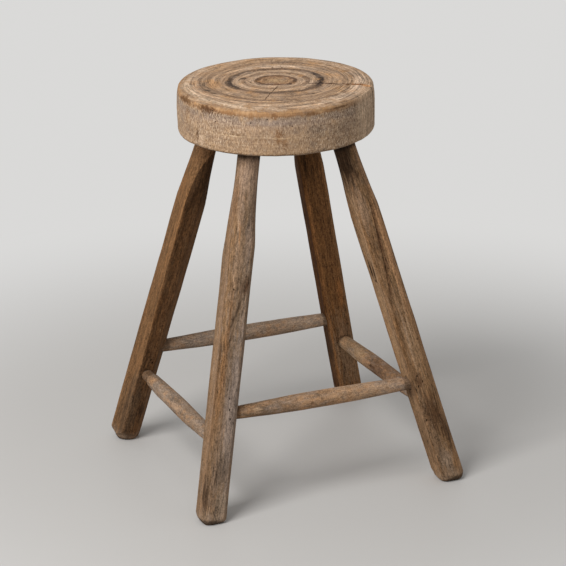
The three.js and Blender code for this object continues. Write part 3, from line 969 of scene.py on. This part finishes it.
# How each leg looks. Its "warm" and "cool" are what it has weathered to, "contrast" how strong its
# streaks are, and a length up it where the painted shadow of the seat starts. Its tints go round it,
# each at a bearing in degrees from its front, and its stains are each a middle, a size, a lean, a
# colour and a share; a few stains are painted shade, as marked. The tints of the back left one sweep
# round its neck by so many degrees, and its "shadow" is painted shade on one flat: its bearing, where
# on the leg it starts and is full, its colour and share.
LEG_LOOKS = {
    "front_left": {
        "warm": (140, 106, 75), "cool": (138, 119, 104), "contrast": 1, "grimy from": 0.545,
        "tints": [
            (-180, (123, 97, 72)), (-120, (127, 101, 76)), (-90, (137, 109, 84)), (-67, (139, 111, 86)),
            (-62, (105, 80, 58)), (-56, (128, 100, 73)), (-40, (124, 96, 69)), (-28, (119, 92, 67)),
            (-21, (124, 99, 76)), (0, (131, 108, 86)), (28, (134, 113, 94)), (38, (137, 115, 96)),
            (60, (128, 105, 82)), (90, (127, 99, 74)), (180, (123, 97, 72)),
        ],
        "stains": [
            ((0, -14, 532), (24, 20, 58), 0, (154, 128, 107), 0.7),
            ((-16, -7, 477), (6, 10, 40), 0, (110, 82, 58), 0.6),
            ((-8.6, -19.5, 400), (11, 10, 80), 0, (154, 126, 101), 0.6),
            ((-11.4, -18.5, 452), (2.6, 8, 22), -6, (178, 147, 120), 0.55),
            ((-9, -19.5, 433), (1.6, 8, 45), -4, (150, 108, 70), 0.6),
            ((7.5, -19.5, 425), (9, 10, 55), 0, (132, 113, 99), 0.6),
            ((2, -19.5, 450), (3, 8, 24), 12, (98, 83, 71), 0.6),
            ((6.5, -19.5, 425), (1.2, 6, 15), 35, (170, 147, 127), 0.6),
            ((8, -19.5, 362), (7.8, 10, 27), 16, (88, 67, 50), 0.75),
            ((11.5, -18, 358), (3.6, 8, 18), 10, (90, 61, 40), 0.6),
            ((-2, -19.5, 316), (4.2, 8, 36), 15, (68, 52, 39), 0.85),
            ((5, -19.5, 318), (3, 8, 26), 14, (140, 118, 98), 0.5),
            ((-6, -19.5, 280), (2.6, 8, 30), 8, (92, 70, 52), 0.6),
            ((-13, -16, 215), (5, 7, 160), 1.5, (120, 86, 56), 0.7),
            ((-17.2, -11.3, 190), (1.5, 4, 170), 0.5, (92, 64, 42), 0.55),
            ((-9.5, -18.5, 265), (1.2, 4, 116), 0, (92, 66, 44), 0.5),
            ((8.5, -19, 172), (16.5, 12, 148), 0, (137, 121, 110), 0.75),
            ((3, -19.5, 78), (16, 10, 34), 8, (98, 83, 71), 0.7),
            ((-15, -13, 42), (11, 12, 30), 0, (98, 78, 60), 0.65),
            ((-14, -15, 95), (13, 16, 90), 0, (106, 84, 64), 0.55),
            ((-17, -11, 38), (8, 16, 34), -8, (72, 54, 40), 0.8),
            ((8, -19, 26), (12, 10, 26), 0, (134, 117, 100), 0.6),
            ((-3, -19, 13), (1.5, 8, 15), -25, (48, 37, 28), 0.85),
        ],
    },
    "front_right": {
        "warm": (138, 100, 67), "cool": (134, 111, 90), "contrast": 1.12, "grimy from": 0.54,
        "tints": [
            (-180, (121, 94, 67)), (-120, (139, 108, 77)), (-90, (148, 118, 88)), (-52, (147, 117, 88)),
            (-46, (122, 92, 64)), (-38, (120, 90, 62)), (-20, (124, 95, 68)), (0, (126, 97, 69)),
            (22, (124, 95, 67)), (28, (146, 111, 78)), (60, (152, 117, 84)), (68, (126, 99, 74)),
            (90, (123, 96, 68)), (180, (121, 94, 67)),
        ],
        "stains": [
            ((11, -13, 520), (11, 16, 60), 0, (142, 112, 88), 0.55),
            # The next stain is painted shadow of the seat on the top left of the neck.
            ((-12.5, -9, 548), (20, 30, 90), 0, (48, 33, 22), 0.9),
            ((-4.5, -16, 512), (3.4, 10, 34), -9, (70, 50, 35), 0.65),
            ((14, -14, 455), (8, 12, 40), 0, (158, 126, 100), 0.6),
            ((-9, -19.5, 448), (10.5, 10, 45), 0, (152, 124, 100), 0.6),
            ((12, -17, 360), (10, 12, 130), 0, (186, 141, 102), 0.8),
            ((4.5, -20.5, 440), (3.4, 8, 34), 4, (96, 68, 46), 0.7),
            ((1, -20.5, 400), (5, 8, 40), 6, (90, 62, 42), 0.8),
            ((-3.4, -20.5, 350), (5, 8, 36), 8, (88, 62, 42), 0.8),
            ((-8, -20.5, 318), (4.2, 8, 26), 14, (84, 60, 42), 0.8),
            ((-12, -20, 330), (3, 8, 50), 0, (150, 117, 86), 0.5),
            ((-19, -1, 352), (5, 12, 26), 0, (110, 82, 58), 0.5),
            # The next two stains are painted shade in the two short splits on the left face.
            ((-19, -7.2, 350), (5, 3.8, 23), 0, (34, 23, 15), 1),
            ((-19, 3, 352), (5, 3.8, 24), 0, (34, 23, 15), 1),
            ((-19, -3, 334), (3, 4, 3), 0, (60, 42, 29), 0.8),
            ((-4, -20.5, 238), (3, 8, 63), 2, (160, 135, 112), 0.6),
            ((3.5, -20.5, 254), (1.8, 8, 53), 2, (152, 126, 101), 0.5),
            ((-14.5, -20, 249), (2.4, 6, 95), 2, (91, 63, 38), 0.7),
            ((-7, -20.5, 168), (9, 8, 18), 0, (76, 52, 35), 0.65),
            ((-19.5, -5, 160), (5, 20, 20), 0, (86, 62, 43), 0.75),
            ((-19.5, 0, 80), (6, 22, 75), 0, (112, 87, 64), 0.75),
            ((0, -20, 114), (19, 12, 42), 0, (72, 50, 33), 0.85),
            ((12, -17, 74), (14, 14, 36), 0, (68, 49, 34), 0.8),
            ((-4, -20.5, 32), (14, 10, 32), 0, (142, 121, 102), 0.75),
            ((-10, -18, 58), (14, 16, 30), 0, (96, 75, 56), 0.45),
            ((-19, 0, 150), (6, 22, 24), 0, (92, 69, 50), 0.6),
            ((0, -20.5, 220), (16, 10, 60), 0, (150, 121, 93), 0.4),
        ],
    },
    "back_right": {
        "warm": (116, 78, 44), "cool": (102, 73, 48), "contrast": 1.25, "grimy from": 0.552,
        "tints": [
            (-180, (126, 97, 68)), (-120, (78, 50, 27)), (-90, (64, 36, 14)), (-62, (64, 36, 14)),
            (-56, (98, 64, 34)), (-45, (128, 87, 52)), (-35, (114, 78, 46)), (0, (117, 81, 50)),
            (32, (121, 84, 52)), (45, (140, 101, 66)), (60, (130, 98, 67)), (180, (126, 98, 68)),
        ],
        "stains": [
            # The next two stains are painted shadow of the seat on the top of the neck.
            ((-4, -15, 500), (30, 30, 90), 0, (80, 52, 28), 0.75),
            ((-12, -13, 480), (8, 12, 50), 0, (46, 29, 15), 0.7),
            ((2, -20, 441), (3, 8, 63), 0, (127, 89, 54), 0.45),
            ((7, -20, 215), (8, 10, 38), 0, (142, 94, 54), 0.55),
            ((2, -18, 100), (28, 30, 110), 0, (122, 97, 74), 0.75),
            ((-8, -20, 147), (1.6, 8, 63), 0, (79, 58, 40), 0.6),
            ((-20, 0, 105), (6, 20, 40), 0, (62, 42, 26), 0.7),
        ],
    },
    "back_left": {
        "warm": (126, 88, 55), "cool": (108, 82, 58), "contrast": 1.15, "grimy from": 0.552, "sweep": 85,
        "shadow": (-39, 0.39, 0.45, (46, 30, 17), 0.65),
        "tints": [
            (-180, (115, 87, 59)), (-120, (117, 86, 58)), (-90, (112, 82, 54)), (-46, (116, 84, 55)),
            (-41, (130, 94, 61)), (-38, (82, 56, 34)), (15, (92, 64, 41)), (50, (110, 79, 52)),
            (90, (111, 82, 55)), (180, (115, 87, 59)),
        ],
        "stains": [
            ((-17, -6, 326), (4, 6, 158), 0, (135, 97, 63), 0.5),
            ((-17, 10, 263), (4, 6, 210), 0, (103, 73, 47), 0.5),
            ((-2, -21.5, 208), (1.4, 6, 7), 0, (150, 120, 83), 0.7),
            ((-1, -21.5, 148), (2.6, 6, 7), 0, (48, 33, 22), 0.7),
            ((-4, -18, 530), (24, 22, 40), 0, (112, 77, 50), 0.4),
            ((10, -16, 200), (16, 18, 70), 0, (104, 77, 53), 0.5),
            ((-12, -10, 60), (18, 24, 100), 0, (82, 64, 48), 0.75),
            ((6, -20, 62), (13, 12, 16), 0, (62, 43, 28), 0.75),
        ],
    },
}
for place, leg in LEGS.items():
    look = LEG_LOOKS[place]
    wood = timber(
        f"shaved wood of the {place.replace('_', ' ')} leg", placements[place], look["tints"], LEG_PITH,
        look["warm"], look["cool"], leg.get("twist", 0) / billet_lengths[place],
        sweep=look.get("sweep", 0),
    )
    # Painted shade on one flat of the back left leg's upper part.
    if "shadow" in look:
        bearing, low, high, colour, share = look["shadow"]
        in_shadow = wood.fade(wood.girth, bearing - 2, bearing + 2) * wood.fade(wood.up, low, high)
        wood.stain(in_shadow * share, colour)
    for centre, size, lean, colour, share in look["stains"]:
        wood.stain(wood.spot(centre, size, (0, lean, 0), wood.ragged * 1.9) * share, colour)
    # Painted shadow of the seat darkens the top of each neck. Dust greys the foot, and its lowest few
    # millimetres are darker.
    seat_shadow_start = look["grimy from"]
    painted_seat_shadow = wood.fade(wood.up + wood.ragged * 0.010, seat_shadow_start - 0.001, seat_shadow_start + 0.008)
    wood.stain(painted_seat_shadow * 0.85, (36, 26, 19))
    wood.tinge(wood.up + wood.ragged * 0.010, 0.024, 0.006, 0.40, (134, 116, 99))
    wood.tinge(wood.up + wood.ragged * 0.006, 0.006, 0.001, 0.75, (48, 38, 30))
    put_timber_on(legs[place], wood, look["contrast"])


# The stretchers
# Four sticks whittled round and fullest near their middles, with a round tenon in a blind hole in
# the leg at either end. The pair at the front and back is above the pair at the sides.

LOWER_HEIGHT = 0.1155
UPPER_HEIGHT = 0.1545
WOOD_BEHIND = 0.012
STRETCHER_FULLNESS = 0.9
STRETCHER_STEPS = 60
STRETCHER_SIDES = 48
STICK_PITH = (0.002, 0.001)

# Each stretcher's legs, its height and how far over it each end is, the diameters of its tenons, its
# greatest diameter and where it is, how far each tenon shows before the stick swells, and how much
# thicker a shoulder makes its first end. Its tints go by the distance from that end.
STRETCHERS = {
    "front": {
        "legs": ("front_left", "front_right"), "height": UPPER_HEIGHT, "offsets": (-0.0011, -0.0012),
        "tenons": (0.0195, 0.0205), "full": 0.0265, "fullest": 0.5, "showing": (0.002, 0.002),
        "shoulder": 0,
        "tints": [
            (0, (118, 95, 74)), (60, (124, 100, 78)), (120, (140, 113, 89)), (170, (162, 129, 99)),
            (220, (160, 131, 104)), (360, (150, 125, 104)),
        ],
        "stains": [
            ((-10.5, 1.5, 54), (8, 7, 10), 0, (170, 142, 114), 0.6),
            ((-12, 0, 143), (8, 4, 5), 0, (98, 72, 52), 0.7),
        ],
    },
    "back": {
        "legs": ("back_left", "back_right"), "height": UPPER_HEIGHT, "offsets": (0.0017, -0.0062),
        "tenons": (0.02, 0.0215), "full": 0.026, "fullest": 0.5, "showing": (0.002, 0.002), "shoulder": 0,
        "tints": [
            (0, (142, 121, 102)), (50, (146, 126, 108)), (100, (142, 122, 104)), (220, (142, 120, 100)),
            (290, (164, 140, 118)), (360, (170, 144, 120)),
        ],
        "stains": [],
    },
    "left": {
        "legs": ("back_left", "front_left"), "height": LOWER_HEIGHT, "offsets": (0.0014, -0.0036),
        "tenons": (0.0185, 0.02), "full": 0.027, "fullest": 0.5, "showing": (0.016, 0.002),
        "shoulder": 0.0016,
        "tints": [
            (0, (124, 101, 81)), (50, (120, 98, 78)), (90, (136, 116, 98)), (220, (134, 113, 94)),
            (360, (128, 106, 86)),
        ],
        "stains": [
            ((-10, 0, 43), (12, 12, 1.6), 12, (82, 60, 44), 0.75),
            ((-10, 8, 66), (8, 10, 12), 0, (176, 134, 96), 0.6),
            ((-12, 6, 175), (8, 8, 30), 0, (172, 140, 112), 0.5),
        ],
    },
    "right": {
        "legs": ("back_right", "front_right"), "height": LOWER_HEIGHT, "offsets": (-0.0073, 0.0064),
        "tenons": (0.0215, 0.021), "full": 0.0265, "fullest": 0.45, "showing": (0.002, 0.002),
        "shoulder": 0,
        "tints": [
            (0, (146, 120, 93)), (100, (150, 122, 94)), (170, (128, 98, 74)), (240, (122, 95, 72)),
            (360, (118, 94, 74)),
        ],
        "stains": [
            ((-12, 0, 185), (12, 16, 36), 0, (104, 79, 61), 0.65),
            ((-12, 3, 162), (8, 3.2, 22), 14, (78, 56, 41), 0.85),
            ((-10, 8, 105), (8, 8, 30), 0, (164, 134, 100), 0.5),
        ],
    },
}

for place, stretcher in STRETCHERS.items():
    ends = []
    for leg_place, offset in zip(stretcher["legs"], stretcher["offsets"]):
        upwards = placements[leg_place].col[2].xyz
        height = stretcher["height"] + offset
        ends.append(placements[leg_place].translation + upwards * height / upwards.z)
    along = ends[1] - ends[0]
    length = along.length
    placement = along.to_track_quat("Z", "Y").to_matrix().to_4x4()
    placement.translation = ends[0]
    reach = []
    ends_of_it = zip(stretcher["legs"], stretcher["tenons"], stretcher["showing"])
    for leg_place, diameter, showing in ends_of_it:
        leg = LEGS[leg_place]
        upwards = placements[leg_place].col[2].xyz
        lean = math.asin(abs(along.normalized().dot(upwards)))
        surface = (leg["width"] / 2 + leg["off centre"]) / math.cos(lean)
        surface += diameter / 2 * math.tan(lean)
        inside = leg["width"] / 2 - leg["off centre"] - WOOD_BEHIND
        reach.append((diameter / 2, inside, surface + showing))
    (first, first_inside, swell_start), (last, last_inside, swell_end) = reach
    rings = [(JOINT_GAP - first_inside, first)]
    for step in range(STRETCHER_STEPS + 1):
        share = step / STRETCHER_STEPS
        fullest = stretcher["fullest"]
        halves = share / fullest if share < fullest else (1 - share) / (1 - fullest)
        fullness = math.sin(math.pi / 2 * halves) ** STRETCHER_FULLNESS
        taper = first + (last - first) * share
        swell = (stretcher["full"] - first - last) / 2
        shoulder = stretcher["shoulder"] * max(0, 1 - share * 3) if step else 0
        here = swell_start + (length - swell_end - swell_start) * share
        rings.append((here, taper + swell * fullness + shoulder))
    rings.append((length + last_inside - JOINT_GAP, last))
    stick = turned_piece(f"stretcher_{place}_whittled", rings, STRETCHER_SIDES)
    work(stick, "SUBSURF", subdivision_type="SIMPLE", levels=1, render_levels=1)
    roughen(stick, 0.010, 0.060, 0.0014, level=0.6)
    roughen(stick, 0.003, 0.030, 0.0004, level=0.8)
    smooth_over(stick)
    stick.data.transform(placement)
    for i, leg_place in enumerate(stretcher["legs"]):
        radius, inside, showing = reach[i]
        low, high = (-inside, showing) if i == 0 else (length - showing, length + inside)
        hole = turned_piece("hole", [(low, radius + JOINT_GAP), (high, radius + JOINT_GAP)], 32)
        hole.data.transform(placement)
        cut(legs[leg_place], [hole])
    wood = timber(
        f"whittled wood of the {place} stretcher", placement, [(0, BROWN), (180, BROWN)], STICK_PITH,
        (156, 119, 84), (138, 121, 107), short=3,
    )
    wood.colour = wood.tint((wood.up + wood.ragged * 0.03) * 1000, (0, 360), stretcher["tints"])
    for across, along, shift, share in ((60, 40, 83, 0.5), (170, 90, 87, 0.4)):
        wood.both_ways(
            wood.marks(across, along, 2, shift),
            (0.52, 0.68, share, (136, 120, 107)), (0.47, 0.32, share, (166, 126, 90)),
        )
    for centre, size, lean, colour, share in stretcher["stains"]:
        wood.stain(wood.spot(centre, size, (0, lean, 0), wood.ragged * 1.6) * share, colour)
    # Painted shade darkens its underside and the corner where it meets each leg.
    wood.tinge(wood.facing_up(), -0.15, -0.9, 0.30, (70, 52, 38))
    for face, out_of_leg in ((swell_start, 1), (length - swell_end, -1)):
        near_leg = (wood.up - face) * out_of_leg + wood.ragged * 0.004
        wood.tinge(near_leg, 0.0035, -0.0005, 0.55, (66, 48, 34))
    put_timber_on(stick, wood)
    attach(stick, "root")
    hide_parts(f"stretcher_{place}")


# The floor and the light
# A pale floor, a large soft lamp over its front left, and a pale sky all round. Away from the stool
# the floor shows the colour of the sky, so that no edge is seen.

FLOOR_SIZE = 30
FLOOR_COLOUR = (0.52, 0.505, 0.485, 1)
FLOOR_ROUGHNESS = 0.6
FADES_FROM = 0.38
FADES_TO = 1.20
SKY_LIGHT = 0.43
BACKGROUND = (0.70, 0.695, 0.685, 1)
start()
bpy.ops.mesh.primitive_plane_add(size=FLOOR_SIZE, location=(0, 0, 0))
floor = begin("floor")
bpy.ops.object.mode_set(mode="OBJECT")


def looked_at_in(nodes):
    """1 where a thing is seen by the camera or in a reflection, and 0 where it only sheds light."""
    seen = nodes.add("LightPath", result="Is Camera Ray")
    for way in ("Is Glossy Ray", "Is Transmission Ray"):
        seen = nodes.reckon("MAXIMUM", seen, nodes.add("LightPath", result=way))
    return seen


pale = Finish("pale floor", (0, 0, 0), (0, 0, 0))
bare_floor = pale.tree.nodes["Principled BSDF"]
bare_floor.inputs["Base Color"].default_value = FLOOR_COLOUR
bare_floor.inputs["Roughness"].default_value = FLOOR_ROUGHNESS
from_stool = (pale.right * pale.right + pale.back * pale.back) ** 0.5
far_away = pale.fade(from_stool, FADES_FROM, FADES_TO)
glow = pale.add("Emission", {}, {"Color": BACKGROUND})
both = pale.add("MixShader", {}, {
    0: far_away * looked_at_in(pale), 1: Amount(pale, bare_floor.outputs[0]), 2: glow,
})
pale.tree.links.new(both.socket, pale.tree.nodes["Material Output"].inputs["Surface"])
floor.data.materials.append(pale.material)

world = bpy.data.worlds.new("sky")
world.use_nodes = True
bpy.context.scene.world = world
sky = Nodes(world.node_tree)
light = world.node_tree.nodes["Background"]
light.inputs["Color"].default_value = (1, 1, 1, 1)
light.inputs["Strength"].default_value = SKY_LIGHT
shown = sky.add("Background", {}, {"Color": BACKGROUND})
both = sky.add("MixShader", {}, {
    0: looked_at_in(sky), 1: Amount(sky, light.outputs[0]), 2: shown,
})
sky.tree.links.new(both.socket, sky.tree.nodes["World Output"].inputs["Surface"])

LAMP_SIZE = 1.6
LAMP_POWER = 92
LAMP_PLACE = Vector((-2.1, -1.0, 2.6))
LAMP_AIMED_AT = Vector((0, 0, 0.4))
lamp_light = bpy.data.lights.new("soft lamp", "AREA")
lamp_light.shape = "SQUARE"
lamp_light.size = LAMP_SIZE
lamp_light.energy = LAMP_POWER
lamp = bpy.data.objects.new("soft lamp", lamp_light)
lamp.location = LAMP_PLACE
lamp.rotation_euler = (LAMP_PLACE - LAMP_AIMED_AT).to_track_quat("Z", "Y").to_euler()
bpy.context.scene.collection.objects.link(lamp)

# The camera looks down at the stool from its front left, from far off.
LOOKED_AT = Vector((0.00167, -0.00429, 0.2875))
CAMERA_WAY = Vector((-0.3729, -0.8650, 0.3358)).normalized()
CAMERA_DISTANCE = 5.1559
CAMERA_TILT = math.radians(-1.06)
LENS = 212.4
SENSOR_WIDTH = 36
camera_lens = bpy.data.cameras.new("camera")
camera_lens.lens = LENS
camera_lens.sensor_width = SENSOR_WIDTH
camera_lens.clip_end = 50
camera = bpy.data.objects.new("camera", camera_lens)
camera.location = LOOKED_AT + CAMERA_WAY * CAMERA_DISTANCE
level = CAMERA_WAY.to_track_quat("Z", "Y")
camera.rotation_euler = (level @ Quaternion((0, 0, 1), CAMERA_TILT)).to_euler()
bpy.context.scene.collection.objects.link(camera)
bpy.context.scene.camera = camera
bpy.context.scene.view_settings.view_transform = "Standard"
